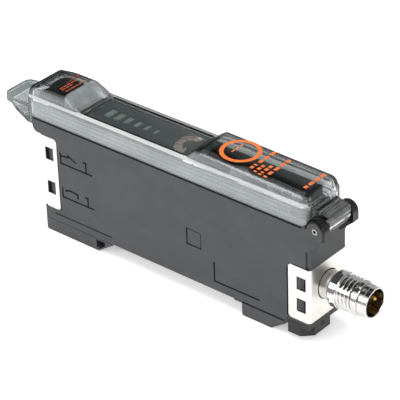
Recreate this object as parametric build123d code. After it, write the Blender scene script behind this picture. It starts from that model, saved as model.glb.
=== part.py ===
from build123d import *
from math import acos, cos, pi, sin, tan
import os

# Fibre optic sensor amplifier in a slim rail-mount case: a hinged clear cover over a display
# and controls, two fibre ports at one end and a round screw connector at the other.
# Millimetres. x runs along the case towards the connector, y across it and z up. While it is
# built, x is measured from the rail's edge at the fibre end and z from the rail face; the finished part is
# then moved so that its origin is the middle of its footprint, at the bottom of the rail feet.

# Case
case_width = 12.4
case_height = 25.1
rail_width = 35.0
rear_length = 20.2
front_length = 20.6
lip_length = 2.4
lip_height = 3.6
lip_radius = 1.5
wall = 1.3
floor = 1.4
deck_ledge = 0.3

# Rail feet and the block under the connector
foot_height = 3.4
foot_step = 2.2
foot_step_height = 0.35
rear_foot_end = 4.5
front_foot_length = 11.7
front_foot_flat = 7.9
ramp_end_height = 0.8
foot_edge = 0.25
foot_seam = 0.1
block_start = 5.9
block_length = 5.45
block_depth = 2.3
block_width = 9.7
block_chamfer = 2.2

# Stainless end plates
plate_thickness = 0.5
plate_gap = 0.03
bend_radius = 0.9
rear_flange = 4.6
rear_plate_bottom = 3.0
rear_plate_top = 21.3
front_flange = 5.7
front_plate_bottom = 1.75
front_plate_top = 15.0
flange_radius = 0.8
window_width = 2.4
window_height = 3.2
window_offset = 1.1
front_window_centres = (5.6, 11.0)
nib_gap = 0.12
mark_place = (24.1, 10.9)
mark_size = 4.0

# Hinge of the cover
hinge_ahead = 1.2
hinge_radius = 2.3
hinge_rim = 0.6
pin_radius = 0.7
pin_bore = 0.35
pin_press_gap = 0.02
pin_running_gap = 0.07
tongue_width = 7.1
tongue_gap = 0.35
tongue_radius = 1.9
tongue_top = 2.7
lug_drop = 1.8
lug_foot = 4.7

# Clear cover
cover_wall = 1.0
seam_gap = 0.2
skirt_height = 5.1
dome_height = 7.9
dome_rear_height = 7.1
dome_front_height = 7.3
dome_inset = 0.5
dome_draft = 0.5
cover_overhang = 1.6
cover_front_gap = 0.6
rear_dome_length = 12.0
rear_dome_slope = 4.0
front_dome_start = 21.5
front_dome_slope = 3.4
dome_radius = 1.1
skirt_edge = 0.4
window_recess = 0.2
window_bead = 1.0
bead_drop = 0.3
ridge_height = 0.2
ridge_width = 0.35

# Lifting tab and latch leg of the cover
tab_length = 9.0
tab_width = 9.8
tab_tip_width = 7.8
tab_corner = 1.8
tab_top = 1.9
tab_plate = 0.9
tab_tip_height = 1.9
leg_thickness = 1.1
leg_drop = 2.9

# Fibre ports, their block, the clamp and its lever
fibre_radius = 1.15
fibre_heights = (8.3, 17.1)
port_hole_gap = 0.05
fibre_block_length = 12.1
fibre_block_height = 21.4
fibre_block_gap = 0.1
snout_width = 6.8
snout_margin = 3.1
clamp_thickness = 2.0
clamp_width = 5.2
clamp_gap = 0.15
cam_gap = 0.06
lever_pivot_x = -13.2
lever_pivot_rise = 1.5
lever_hub = 1.9
lever_pin_radius = 0.75
lever_length = 8.3
lever_nose = 2.6
lever_base = 3.2
lever_top = 6.15
lever_tip_drop = 0.65
lever_nose_drop = 2.0
lever_cap_margin = 0.6
lever_corner = 1.3
lever_swing = 14.0
cam_radius = 1.7
cam_offset = 1.2
cam_angle = -45.0
ear_radius = 1.4
ear_thickness = 0.8
ear_gap = 0.15
side_gap = 0.2
optic_radius = 1.5
optic_length = 3.6
optic_rim = 0.3

# Deck, display and dial
deck_thickness = 1.3
frame_gap = 0.25
frame_wall = 0.48
frame_notch = 3.6
frame_sill = 0.8
frame_height = 3.3
deck_gap = 0.05
display_start = -9.5
display_end = 23.4
display_height = 3.85
display_margin = 1.75
display_wall = 0.4
panel_thickness = 0.7
bar_count = 6
bar_pitch = 2.66
first_bar_x = -4.1
first_bar = (1.7, 3.2)
last_bar = (1.0, 1.75)
bar_gap = 0.08
dial_x = 18.8
dial_disc_radius = 3.95
dial_disc_thickness = 0.6
dial_disc_gap = 0.3
dial_window = (1.75, 3.75)
dial_window_angle = 210.0

# Gear train from the adjuster to the dial
gear_margin = 0.7
pinion_teeth = 7
gear_teeth = 21
gear_thickness = 1.4
gear_play = 0.2
pressure_angle = 30.0
gear_drop = 2.6
shaft_radius = 0.9
running_gap = 0.08
lift_gap = 0.15
carrier_thickness = 0.8
carrier_length = 16.4
post_size = 1.1
pivot_radius = 0.7

# Adjuster
adjuster_radius = 2.4
adjuster_height = 2.7
adjuster_slot = 0.7
adjuster_slot_depth = 1.0
boss_radius = 3.3
boss_height = 0.4

# Slide switches
switch_positions = (41.2, 47.6)
switch_length = 4.6
switch_width = 7.0
switch_height = 3.2
slider_size = 1.7
slider_travel = 2.0
slider_height = 1.5
slider_root = 1.2

# Boards
board_thickness = 1.2
board_edge_gap = 0.3
board_drop = 8.9
small_board = 1.0
board_post_size = 1.6
pot_size = 6.4

# Round screw connector
plug_height = 8.95
plug_thread_radius = 4.0
plug_thread_start = 4.7
plug_thread_end = 9.9
plug_length = 12.2
plug_tip_radius = 3.5
plug_collar_radius = 3.6
plug_collar_length = 2.5
plug_neck_radius = 3.45
plug_bore_radius = 3.1
plug_groove_width = 0.5
plug_groove_radius = 3.6
plug_groove_start = 8.2
ring_radius = 4.15
nut_radius = 4.3
nut_thickness = 1.3
contact_radius = 0.5
contact_circle = 2.0
contact_angles = (58.0, 122.0, 194.0, 346.0)
contact_recess = 1.2
insert_depth = 6.2
fit_gap = 0.03

# Places that follow from the sizes above
half = case_width / 2
display_width = case_width - 2 * display_margin
lever_width = display_width - 2 * (ear_thickness + side_gap + ear_gap)
x_rear = -rear_length
x_lip = x_rear - lip_length
x_front = rail_width + front_length
inner = half - wall
board_width = 2 * (inner - board_edge_gap)
gear_module = 2 * (inner - gear_margin) / gear_teeth
hinge_x = x_front + hinge_ahead
hinge_z = case_height
cover_x0 = x_lip - cover_overhang
cover_x1 = x_front - cover_front_gap
cover_z0 = case_height + seam_gap
tab_x = cover_x0 - tab_length
plug_x1 = x_front + plug_length
deck_bottom = case_height - deck_thickness
deck_x0 = x_lip + wall
deck_x1 = x_front - wall - deck_gap
panel_z = case_height + display_height - panel_thickness
gear_z1 = deck_bottom - gear_drop
gear_z0 = gear_z1 - gear_thickness
board_z = deck_bottom - board_drop
pinion_pitch = gear_module * pinion_teeth / 2
gear_pitch = gear_module * gear_teeth / 2
idler_x = dial_x + 2 * gear_pitch
adjuster_x = idler_x + gear_pitch + pinion_pitch
lever_z = case_height + lever_pivot_rise
clamp_travel = cam_offset * (sin((cam_angle + lever_swing) * pi / 180) - sin(cam_angle * pi / 180))
optics_x = x_rear + wall + fibre_block_length
plug_board_x = x_front - wall - nut_thickness - 3.0
x_middle = (tab_x + plug_x1) / 2


# Shapes placed by their limits
def block(x0, x1, y0, y1, z0, z1):
    return Pos((x0 + x1) / 2, (y0 + y1) / 2, (z0 + z1) / 2) * Box(x1 - x0, y1 - y0, z1 - z0)


def rod_x(x0, x1, radius, y=0.0, z=0.0):
    return Pos((x0 + x1) / 2, y, z) * Rot(0, 90, 0) * Cylinder(radius, x1 - x0)


def rod_y(y0, y1, radius, x, z):
    return Pos(x, (y0 + y1) / 2, z) * Rot(90, 0, 0) * Cylinder(radius, y1 - y0)


def rod_z(z0, z1, radius, x=0.0, y=0.0):
    return Pos(x, y, (z0 + z1) / 2) * Cylinder(radius, z1 - z0)


def side_solid(sketch, y0, y1):
    """a sketch of x and z, made solid from y0 to y1"""
    face = Plane(origin=(0, y0, 0), x_dir=(1, 0, 0), z_dir=(0, -1, 0)) * sketch
    return extrude(face, amount=y1 - y0, dir=(0, 1, 0))


def end_solid(sketch, x0, x1):
    """a sketch of y and z, made solid from x0 to x1"""
    face = Plane(origin=(x0, 0, 0), x_dir=(0, 1, 0), z_dir=(1, 0, 0)) * sketch
    return extrude(face, amount=x1 - x0, dir=(1, 0, 0))


def plan_solid(sketch, z0, z1):
    """a sketch of x and y, made solid from z0 to z1"""
    return extrude(Pos(0, 0, z0) * sketch, amount=z1 - z0, dir=(0, 0, 1))


def outline(*points):
    return Polygon(*points, align=None)


def rounded(sketch, *corners):
    """rounds the sketch's corners, each given as x, y and radius"""
    for x, y, radius in corners:
        corner = sketch.vertices().sort_by_distance((x, y, 0))[0]
        sketch = fillet(corner, radius)
    return sketch


def rectangle(x0, x1, y0, y1):
    return outline((x0, y0), (x1, y0), (x1, y1), (x0, y1))


# Case: an open moulded box with a lip at the fibre end
def end_core(x_end, inward, bottom, top, flange, inset):
    """what is left of the case's end inside a plate's flanges"""
    x_far = x_end + inward * (flange + inset)
    x_near = x_end + inward * inset
    edge = half - inset
    radius = bend_radius - inset
    core = rounded(rectangle(min(x_near, x_far), max(x_near, x_far), -edge, edge),
                   (x_near, -edge, radius), (x_near, edge, radius))
    return plan_solid(core, bottom, top)


def plate_recess(x_end, inward, bottom, top, flange):
    x_far = x_end + inward * flange
    x_out = x_end - inward * 1.0
    zone = block(min(x_out, x_far), max(x_out, x_far), -half - 1, half + 1, bottom, top)
    depth = plate_thickness + plate_gap
    return zone - end_core(x_end, inward, bottom - 1, top + 1, flange, depth)


def snap_nib(x_end, inward, height):
    """wedge that fills a plate's window, steep on the side that holds the plate"""
    x0 = x_end + inward * (window_offset + nib_gap)
    x1 = x_end + inward * (window_offset + window_width - nib_gap)
    foot = half - plate_thickness - plate_gap
    ramp = (x0 + x1) / 2
    shape = outline((ramp, foot - 0.2), (x1, foot - 0.2), (x1, half - 0.08), (ramp, foot + 0.05))
    z0 = height - window_height / 2 + nib_gap
    nib = plan_solid(shape, z0, z0 + window_height - 2 * nib_gap)
    return nib + mirror(nib, Plane.XZ)


def hinge_lug():
    """one side's barrel with its web, rounded on its outer rim"""
    y0 = tongue_width / 2 + tongue_gap
    barrel = rod_y(y0, half, hinge_radius, hinge_x, hinge_z)
    barrel = fillet(barrel.faces().sort_by(Axis.Y)[-1].edges(), hinge_rim)
    web = outline((x_front - wall, hinge_z - lug_foot + 1.0), (x_front - wall, hinge_z),
                  (hinge_x + hinge_radius, hinge_z), (hinge_x + hinge_radius, hinge_z - lug_drop),
                  (x_front + 0.3, hinge_z - lug_foot), (x_front - 0.4, hinge_z - lug_foot))
    web = side_solid(web, y0, half)
    rim = web.faces().sort_by(Axis.Y)[-1].edges().filter_by(lambda e: e.center().X > x_front + 0.5)
    web = fillet(rim.filter_by(lambda e: e.center().Z < hinge_z - 0.1), hinge_rim)
    lug = barrel + web
    return lug + mirror(lug, Plane.XZ)


def case_outside():
    side = outline((x_rear, 0), (x_front - 0.45, 0), (x_front - 0.45, front_plate_bottom),
                   (x_front, front_plate_bottom), (x_front, case_height), (x_lip, case_height),
                   (x_lip, case_height - lip_height), (x_rear, case_height - lip_height))
    side = rounded(side, (x_lip, case_height - lip_height, lip_radius))
    return side_solid(side, -half, half)


def case_block():
    """the stop block under the connector, with its corners cut at 45 degrees"""
    x0 = rail_width + front_length - block_start
    x1 = x0 + block_length
    y0, y1 = -half, -half + block_width
    cut = block_chamfer
    plan = outline((x0, y0), (x1 - cut, y0), (x1, y0 + cut), (x1, y1 - cut), (x1 - cut, y1), (x0, y1))
    return plan_solid(plan, -block_depth, 0.5)


def case_hollow():
    deep = block(x_rear + wall, x_front - wall - plate_thickness, -inner, inner, floor, deck_bottom)
    seat = block(deck_x0 - deck_gap, deck_x1 + deck_gap, -inner - deck_ledge, inner + deck_ledge,
                 deck_bottom, case_height + 1)
    return deep + seat


def case_posts():
    reach = board_post_size / 2
    posts = [block(x - reach, x + reach, y - reach, y + reach, floor - 0.1, board_z)
             for x in (1.5, plug_board_x - 4.0) for y in (-3.2, 3.2)]
    return Compound(posts)


def case_shell():
    body = case_outside() + case_block() + hinge_lug()
    body += block(x_rear, 0, -half, half, -foot_seam, 0.2)
    body += block(rail_width, x_front - 0.45, -half, half, -foot_seam, 0.2)
    body += block(rail_width, rail_width + foot_step + 0.4, -half, half, -foot_step_height, 0.2)
    body -= case_hollow()
    body += case_posts()
    body -= plate_recess(x_rear, 1, rear_plate_bottom, rear_plate_top, rear_flange)
    body -= plate_recess(x_front, -1, front_plate_bottom, front_plate_top, front_flange)
    for height in fibre_heights:
        body += snap_nib(x_rear, 1, height)
    for height in front_window_centres:
        body += snap_nib(x_front, -1, height)
    body -= block(x_rear - 1, x_rear + wall + 0.1, -snout_width / 2 - fibre_block_gap,
                  snout_width / 2 + fibre_block_gap, fibre_heights[0] - snout_margin,
                  fibre_heights[1] + snout_margin)
    body -= rod_x(x_front - 2 * wall, x_front + 1, plug_neck_radius + fit_gap, z=plug_height)
    body -= rod_y(-tongue_width / 2 - tongue_gap, tongue_width / 2 + tongue_gap,
                  tongue_radius + tongue_gap, hinge_x, hinge_z)
    body -= rod_y(-half - 1, half + 1, pin_radius + pin_press_gap, hinge_x, hinge_z)
    body -= side_recesses()
    return body


def side_recesses():
    """the mould marks of the long side: a square and the slots over the front plate"""
    x, z = mark_place
    reach = mark_size / 2
    square = block(x - reach, x + reach, -half - 1, -half + 0.15, z - reach, z + reach)
    slots = [block(x_front - 1.1, x_front + 1, side * half - 0.35, side * half + 0.35,
                   front_plate_top, front_plate_top + 4.5) for side in (-1, 1)]
    return Compound([square] + slots)


# Rail feet
def foot(side, cores):
    body = side_solid(side, -half, half)
    top = body.faces().sort_by(Axis.Z)[-1].edges().filter_by(Axis.X)
    body = chamfer(top, foot_edge)
    for x0, x1 in cores:
        body -= block(x0, x1, -half + 1.3, half - 1.3, -foot_height - 1, -foot_height + 1.4)
    return body


def rear_rail_foot():
    tip = -rear_foot_end
    side = outline((x_rear, -foot_seam), (x_rear, -foot_height), (tip, -foot_height),
                   (-0.1, -foot_seam - 0.35), (-0.1, -foot_seam))
    side = rounded(side, (x_rear, -foot_height, 0.5))
    body = foot(side, [(x_rear + 1.3, x_rear + 6.9), (x_rear + 8.0, tip - 1.2)])
    pocket = outline((tip - 0.5, -0.6), (tip + 2.1, -0.6), (tip + 2.1, -1.5), (tip + 0.8, -2.6), (tip - 0.5, -2.6))
    return body - side_solid(pocket, -half - 1, -half + 2.5) - side_solid(pocket, half - 2.5, half + 1)


def front_rail_foot():
    x0 = rail_width + foot_step
    x1 = x0 + front_foot_length
    side = outline((x0, -foot_seam), (x0, -foot_height), (x0 + front_foot_flat, -foot_height),
                   (x1, -ramp_end_height), (x1, -foot_seam))
    side = rounded(side, (x0, -foot_height, 0.4))
    body = foot(side, [(x0 + 1.3, x0 + front_foot_flat - 1.0)])
    return body - block(x0 - 1, x0 + foot_step_height + 0.5, -half - 1, half + 1, -foot_step_height, 1)


# Stainless end plates
def end_plate(x_end, inward, bottom, top, flange, centres):
    inside = end_core(x_end, inward, bottom - 1, top + 1, flange + 1, plate_thickness)
    plate = end_core(x_end, inward, bottom, top, flange, 0.0) - inside
    x_far = x_end + inward * flange
    x_out = x_end - inward * 1.0
    side = rectangle(min(x_far, x_out), max(x_far, x_out), bottom, top)
    side = rounded(side, (x_far, bottom, flange_radius), (x_far, top, flange_radius))
    plate = plate & side_solid(side, -half - 1, half + 1)
    x0 = x_end + inward * window_offset
    x1 = x0 + inward * window_width
    for height in centres:
        hole = rectangle(min(x0, x1), max(x0, x1), height - window_height / 2, height + window_height / 2)
        plate -= side_solid(hole, -half - 1, half + 1)
    return plate


def fibre_end_plate():
    plate = end_plate(x_rear, 1, rear_plate_bottom, rear_plate_top, rear_flange, fibre_heights)
    for height in fibre_heights:
        plate -= rod_x(x_rear - 1, x_rear + 1, fibre_radius + port_hole_gap, z=height)
    return plate


def connector_end_plate():
    plate = end_plate(x_front, -1, front_plate_bottom, front_plate_top, front_flange, front_window_centres)
    return plate - rod_x(x_front - 1, x_front + 1, plug_neck_radius + fit_gap, z=plug_height)


# Clear cover: one thin moulding with two domes, a display window, a hinge tongue and a tab
def dome_section(inset):
    """the domes' cross-section, its sides leaning inwards"""
    foot_y = half - dome_inset - inset
    top_y = foot_y - dome_draft
    z0, z1 = case_height, case_height + dome_height + 1
    return outline((-foot_y, z0), (foot_y, z0), (foot_y, case_height + skirt_height - 0.5),
                   (top_y, z1), (-top_y, z1), (-foot_y, case_height + skirt_height - 0.5))


def dome(side, inset):
    """a dome from its side outline, its upper edges along and at the end rounded"""
    x0, x1 = cover_x0 - 1, cover_x1 + 1
    shape = side_solid(side, -half, half) & end_solid(dome_section(inset), x0, x1)
    crest = case_height + skirt_height
    edges = shape.edges().filter_by(lambda e: e.center().Z > crest and abs(e.tangent_at(0.5).Y) < 0.3)
    edges = edges.filter_by(lambda e: abs(e.center().Y) > half - dome_inset - dome_draft - inset - 0.2)
    return fillet(edges, dome_radius) if inset == 0 else shape


def rear_dome_side(inset):
    z0, crest, top = case_height + 1, case_height + skirt_height - inset, case_height + dome_height - inset
    x0 = cover_x0 + inset
    x1 = x_rear + rear_dome_length - inset / 2
    z_end = case_height + dome_rear_height - inset
    side = outline((x0, z0), (x0, z_end), (x0 + 6.0, top), (x1 - rear_dome_slope, top), (x1, crest), (x1, z0))
    return rounded(side, (x0, z_end, dome_radius - inset / 2), (x1 - rear_dome_slope, top, 2.0))


def front_dome_side(inset):
    z0, crest, top = case_height + 1, case_height + skirt_height - inset, case_height + dome_height - inset
    x0, x1 = front_dome_start + inset / 2, cover_x1 - inset
    z_end = case_height + dome_front_height - inset
    side = outline((x0, z0), (x0, crest), (x0 + front_dome_slope, top), (x1, z_end), (x1, z0))
    return rounded(side, (x1, z_end, dome_radius - inset / 2), (x0 + front_dome_slope, top, 2.0))


def bead_slopes():
    """what is cut away so that the beads beside the window fall outwards"""
    top = case_height + skirt_height
    wedge = outline((half - window_bead, top), (half, top - bead_drop), (half, top + 1), (half - window_bead, top + 1))
    slope = end_solid(wedge, cover_x0 - 1, cover_x1 + 1)
    return slope + mirror(slope, Plane.XZ)


def cover_form(inset):
    """the cover's body without its tab and tongue, smaller by inset all round"""
    edge = half - inset
    plan = rectangle(cover_x0 + inset, cover_x1 - inset, -edge, edge)
    corners = plan.vertices()
    plan = fillet(corners, 1.5 - inset)
    bottom = cover_z0 if inset == 0 else case_height - 1
    skirt = plan_solid(plan, bottom, case_height + skirt_height - inset)
    if inset == 0:
        skirt = chamfer(skirt.faces().sort_by(Axis.Z)[-1].edges(), skirt_edge) - bead_slopes()
    return skirt + dome(rear_dome_side(inset), inset) + dome(front_dome_side(inset), inset)


def cover_tongue():
    """the solid tongue that wraps the hinge pin between the case's barrels"""
    r = tongue_radius
    top = hinge_z + tongue_top
    side = outline((cover_x1 - cover_wall, cover_z0), (cover_x1 - cover_wall, top + 0.9),
                   (cover_x1 + 0.2, top + 0.7), (hinge_x + r, top), (hinge_x + r, hinge_z), (hinge_x, hinge_z))
    side = rounded(side, (hinge_x + r, top, 0.4))
    barrel = Pos(hinge_x, hinge_z) * Circle(r)
    tongue = side_solid(side + barrel, -tongue_width / 2, tongue_width / 2)
    rib = block(cover_x1 + 0.7, cover_x1 + 1.2, -tongue_width / 2, tongue_width / 2, top, top + 0.65)
    return tongue + rib


def cover_tab():
    """the lifting tab, a closed loop of a top plate and a sloping one, with the latch leg"""
    z1 = case_height + tab_top
    z_leg = case_height - leg_drop
    x_leg = cover_x0 + leg_thickness
    side = outline((tab_x, z1), (x_leg, z1), (x_leg, z_leg), (cover_x0 - 1.2, z_leg),
                   (cover_x0 - 6.3, z1 - tab_tip_height), (tab_x, z1 - tab_tip_height))
    side = rounded(side, (tab_x, z1, 0.3), (tab_x, z1 - tab_tip_height, 0.4), (cover_x0 - 1.2, z_leg, 0.4))
    x_in = cover_x0 - 0.8
    eye = outline((cover_x0 - 5.4, z1 - tab_plate), (x_in, z1 - tab_plate), (x_in, z_leg + 2.0),
                  (cover_x0 - 2.0, z_leg + 1.7))
    solid = side_solid(side, -tab_width / 2, tab_width / 2) - side_solid(eye, -half, half)
    w0, w1 = tab_tip_width / 2, tab_width / 2
    plan = outline((tab_x, -w0), (tab_x + 4.4, -w1), (x_leg, -w1), (x_leg, w1), (tab_x + 4.4, w1), (tab_x, w0))
    plan = rounded(plan, (tab_x, -w0, tab_corner), (tab_x, w0, tab_corner))
    return solid & plan_solid(plan, z_leg - 1, z1 + 1)


def cover_ridges():
    """two grip ridges across the rear dome"""
    z = case_height + dome_height - 0.15
    width = half - 2.2
    return Compound([block(x, x + ridge_width, -width, width, z, z + 0.15 + ridge_height)
                     for x in (cover_x0 + 6.6, cover_x0 + 7.6)])


def protective_cover():
    body = cover_form(0.0)
    recess_x0 = x_rear + rear_dome_length + window_bead
    recess_y = half - window_bead
    top = case_height + skirt_height
    body -= block(recess_x0, front_dome_start - 0.5, -recess_y, recess_y, top - window_recess, top + 1)
    body += cover_ridges()
    body -= cover_form(cover_wall)
    barrel_gap = hinge_radius + 0.3
    for side in (-1, 1):
        y0, y1 = sorted((side * (tongue_width / 2 + 0.15), side * (half + 1)))
        body -= rod_y(y0, y1, barrel_gap, hinge_x, hinge_z)
    body += cover_tongue() + cover_tab()
    return body - rod_y(-half, half, pin_radius + pin_running_gap, hinge_x, hinge_z)


def hinge_pin():
    length = half - 0.05
    return rod_y(-length, length, pin_radius, hinge_x, hinge_z) - rod_y(-half, half, pin_bore, hinge_x, hinge_z)


# Deck under the cover
def top_deck():
    width = inner + deck_ledge - deck_gap
    deck = block(deck_x0, deck_x1, -width, width, deck_bottom, case_height)
    deck += display_box()
    deck -= display_pocket()
    well = lever_hub + 1.0
    deck -= block(lever_pivot_x - well, lever_pivot_x + well, -lever_width / 2 - side_gap,
                  lever_width / 2 + side_gap, deck_bottom - 1, case_height + 1)
    deck += lever_ears()
    deck += rod_z(case_height - 0.1, case_height + boss_height, boss_radius, adjuster_x)
    deck -= rod_z(deck_bottom - 1, case_height + 5, shaft_radius + running_gap, adjuster_x)
    deck += rod_z(gear_z0 - lift_gap - carrier_thickness, deck_bottom, pivot_radius, idler_x)
    for x in switch_positions:
        deck -= block(x - slider_size / 2 - 0.15, x + slider_size / 2 + 0.15,
                      -(slider_travel + slider_size) / 2 - 0.2, (slider_travel + slider_size) / 2 + 0.2,
                      deck_bottom - 1, case_height + 1)
    return deck


def display_box():
    return block(display_start, display_end, -display_width / 2, display_width / 2, case_height - 0.1, panel_z)


def display_pocket():
    y = display_width / 2 - display_wall
    pocket = block(display_start + display_wall, display_end - display_wall, -y, y, case_height, panel_z + 1)
    return pocket + rod_z(deck_bottom - 1, case_height + 1, shaft_radius + running_gap, dial_x)


def lever_ears():
    y0 = lever_width / 2 + side_gap
    y1 = y0 + ear_thickness
    top = Pos(lever_pivot_x, lever_z) * Circle(ear_radius)
    stem = rectangle(lever_pivot_x - ear_radius, lever_pivot_x + ear_radius, deck_bottom, lever_z)
    ear = side_solid(top + stem, y0, y1)
    ear -= rod_y(y0 - 1, y1 + 1, lever_pin_radius + fit_gap, lever_pivot_x, lever_z)
    return ear + mirror(ear, Plane.XZ)


def light_frame():
    """the pale frame that stands on the deck's edge, just inside the cover's skirt"""
    x0, x1 = x_lip + frame_gap, cover_x1 - cover_wall - frame_gap
    y1 = half - cover_wall - frame_gap
    y0 = y1 - frame_wall
    top = case_height + frame_height
    frame = block(x0, x1, -y1, y1, case_height, top) - block(x0 + 0.6, x1 - 0.6, -y0, y0, case_height - 1, top + 1)
    bridge = block(x1 - frame_notch, x1, -tongue_width / 2 - 2, tongue_width / 2 + 2, case_height + 1.2, top + 1)
    tip_room = block(x0 - 1, x0 + 1, -y0, y0, case_height + frame_sill, top + 1)
    return frame - bridge - tip_room


# Display panel, its light bars and the number dial
def bar_size(index):
    share = index / (bar_count - 1)
    return [first_bar[k] + share * (last_bar[k] - first_bar[k]) for k in (0, 1)]


def bar_x(index):
    return first_bar_x + index * bar_pitch


def bar_light(index):
    length, width = bar_size(index)
    x = bar_x(index)
    return block(x - length / 2, x + length / 2, -width / 2, width / 2, case_height,
                 panel_z + panel_thickness - 0.1)


def dial_opening():
    """an open ring over the dial's numbers, open towards the adjuster"""
    inside, outside = dial_window
    ring = Circle(outside) - Circle(inside)
    reach = outside * 2
    edge = (360 - dial_window_angle) / 2 * pi / 180
    wedge = outline((0, 0), (reach * cos(edge), -reach * sin(edge)), (reach * 2, 0),
                    (reach * cos(edge), reach * sin(edge)))
    return plan_solid(Pos(dial_x, 0) * (ring - wedge), panel_z - 1, panel_z + panel_thickness + 1)


def display_panel():
    panel = block(display_start, display_end, -display_width / 2, display_width / 2,
                  panel_z, panel_z + panel_thickness)
    for index in range(bar_count):
        length, width = bar_size(index)
        x = bar_x(index)
        panel -= block(x - length / 2 - bar_gap, x + length / 2 + bar_gap, -width / 2 - bar_gap,
                       width / 2 + bar_gap, panel_z - 1, panel_z + panel_thickness + 1)
    return panel - dial_opening()


# Gears with true involute flanks
def tooth_angle(teeth, radius):
    """half the angle that a tooth spans at a radius"""
    pitch = gear_module * teeth / 2
    alpha = pressure_angle * pi / 180
    base = pitch * cos(alpha)
    at_pitch = pi / (2 * teeth) - gear_play / (4 * pitch)
    local = acos(min(1.0, base / max(radius, base)))
    return at_pitch + (tan(alpha) - alpha) - (tan(local) - local)


def gear_sketch(teeth, first_angle):
    pitch = gear_module * teeth / 2
    tip = pitch + 0.8 * gear_module
    root = pitch - gear_module
    base = max(root, pitch * cos(pressure_angle * pi / 180))
    radii = [base + (tip - base) * share for share in (0.0, 0.5, 1.0)]
    flank = [(root, tooth_angle(teeth, base))] + [(r, tooth_angle(teeth, r)) for r in radii if r > root]
    points = []
    for tooth in range(teeth):
        middle = first_angle * pi / 180 + 2 * pi * tooth / teeth
        points += [(r * cos(middle - a), r * sin(middle - a)) for r, a in flank]
        points += [(r * cos(middle + a), r * sin(middle + a)) for r, a in reversed(flank)]
    return outline(*points)


def gear(teeth, first_angle, x):
    return plan_solid(Pos(x, 0) * gear_sketch(teeth, first_angle), gear_z0, gear_z1)


def number_dial():
    z1 = panel_z - dial_disc_gap
    foot_z = gear_z0 - lift_gap - carrier_thickness
    body = gear(gear_teeth, 180.0 / gear_teeth, dial_x)
    body += rod_z(gear_z0, z1, shaft_radius, dial_x) + rod_z(foot_z, gear_z0, pivot_radius, dial_x)
    return body + rod_z(z1 - dial_disc_thickness, z1, dial_disc_radius, dial_x)


def idler_gear():
    hub = rod_z(gear_z0, deck_bottom - lift_gap, pivot_radius + 0.9, idler_x)
    body = gear(gear_teeth, 180.0 / gear_teeth, idler_x) + hub
    return body - rod_z(gear_z0 - 1, deck_bottom + 1, pivot_radius + running_gap, idler_x)


def adjuster_screw():
    z0 = case_height + boss_height + lift_gap
    z1 = case_height + adjuster_height
    head = rod_z(z0, z1, adjuster_radius, adjuster_x)
    head = chamfer(head.faces().sort_by(Axis.Z)[-1].edges(), 0.3)
    head -= block(adjuster_x - adjuster_slot / 2, adjuster_x + adjuster_slot / 2, -1.8, 1.8,
                  z1 - adjuster_slot_depth, z1 + 1)
    head -= block(adjuster_x - 1.8, adjuster_x + 1.8, -adjuster_slot / 2, adjuster_slot / 2,
                  z1 - adjuster_slot_depth, z1 + 1)
    shaft = rod_z(gear_z0, z0, shaft_radius, adjuster_x)
    pivot = rod_z(gear_z0 - 1.0, gear_z0, pivot_radius, adjuster_x)
    return head + shaft + pivot + gear(pinion_teeth, 180.0, adjuster_x)


def gear_carrier():
    """the plate under the gears, hung from the deck by posts between them"""
    z1 = gear_z0 - lift_gap
    x0 = dial_x - gear_pitch - 1.9
    plate = block(x0, x0 + carrier_length, -inner + 0.15, inner - 0.15, z1 - carrier_thickness, z1)
    for x in (x0 + post_size / 2, dial_x + gear_pitch):
        for y in (-gear_pitch, gear_pitch):
            plate += block(x - post_size / 2, x + post_size / 2, y - post_size / 2, y + post_size / 2,
                           z1 - 0.1, deck_bottom)
    z0 = z1 - carrier_thickness - 1
    plate -= rod_z(z0, z1 + 1, pivot_radius + running_gap, dial_x)
    return plate - rod_z(z0, z1 + 1, pivot_radius + fit_gap, idler_x)


def potentiometer():
    reach = pot_size / 2
    body = block(adjuster_x - reach, adjuster_x + reach, -reach, reach, board_z + board_thickness, gear_z0 - lift_gap)
    return body - rod_z(gear_z0 - 1.2, gear_z0 + 1, pivot_radius + running_gap, adjuster_x)


# Slide switches under the front dome
def switch_housing(x):
    z1 = deck_bottom
    z0 = z1 - switch_height
    body = block(x - switch_length / 2, x + switch_length / 2, -switch_width / 2, switch_width / 2, z0, z1)
    y = (slider_travel + slider_size) / 2 + 0.2
    return body - block(x - slider_size / 2 - 0.15, x + slider_size / 2 + 0.15, -y, y, z1 - slider_root, z1 + 1)


def switch_slider(x):
    y0 = -(slider_travel + slider_size) / 2
    z0 = deck_bottom - slider_root + running_gap
    body = block(x - slider_size / 2, x + slider_size / 2, y0, y0 + slider_size, z0, case_height + slider_height)
    return fillet(body.faces().sort_by(Axis.Z)[-1].edges(), 0.25)


# Fibre clamp
def lever_cam():
    a = cam_angle * pi / 180
    x, z = lever_pivot_x + cam_offset * cos(a), lever_z + cam_offset * sin(a)
    return Pos(x, z) * Circle(cam_radius)


def lever_cap():
    """the wide cap that fills the rear dome, its top following the dome"""
    x0, x1 = lever_pivot_x - lever_length, lever_pivot_x + lever_nose
    z0, z1 = case_height + lever_base, case_height + lever_top
    y1 = display_width / 2 - lever_cap_margin
    side = outline((x0, z0), (x1, z0), (x1, z1 - lever_nose_drop), (lever_pivot_x, z1),
                   (lever_pivot_x - 5.0, z1 - 0.1), (x0, z1 - lever_tip_drop))
    y0, y2 = y1 - lever_corner, y1 + lever_corner
    section = outline((-y2, z0 - 1), (y2, z0 - 1), (y2, z1 - 2 * lever_corner), (y0, z1 + 0.2), (-y0, z1 + 0.2),
                      (-y2, z1 - 2 * lever_corner))
    plan = fillet(rectangle(x0, x1, -y1, y1).vertices(), lever_corner)
    cap = side_solid(rounded(side, (lever_pivot_x, z1, 1.5)), -y1, y1) & plan_solid(plan, z0 - 1, z1 + 1)
    return cap & end_solid(section, x0 - 1, x1 + 1)


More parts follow.
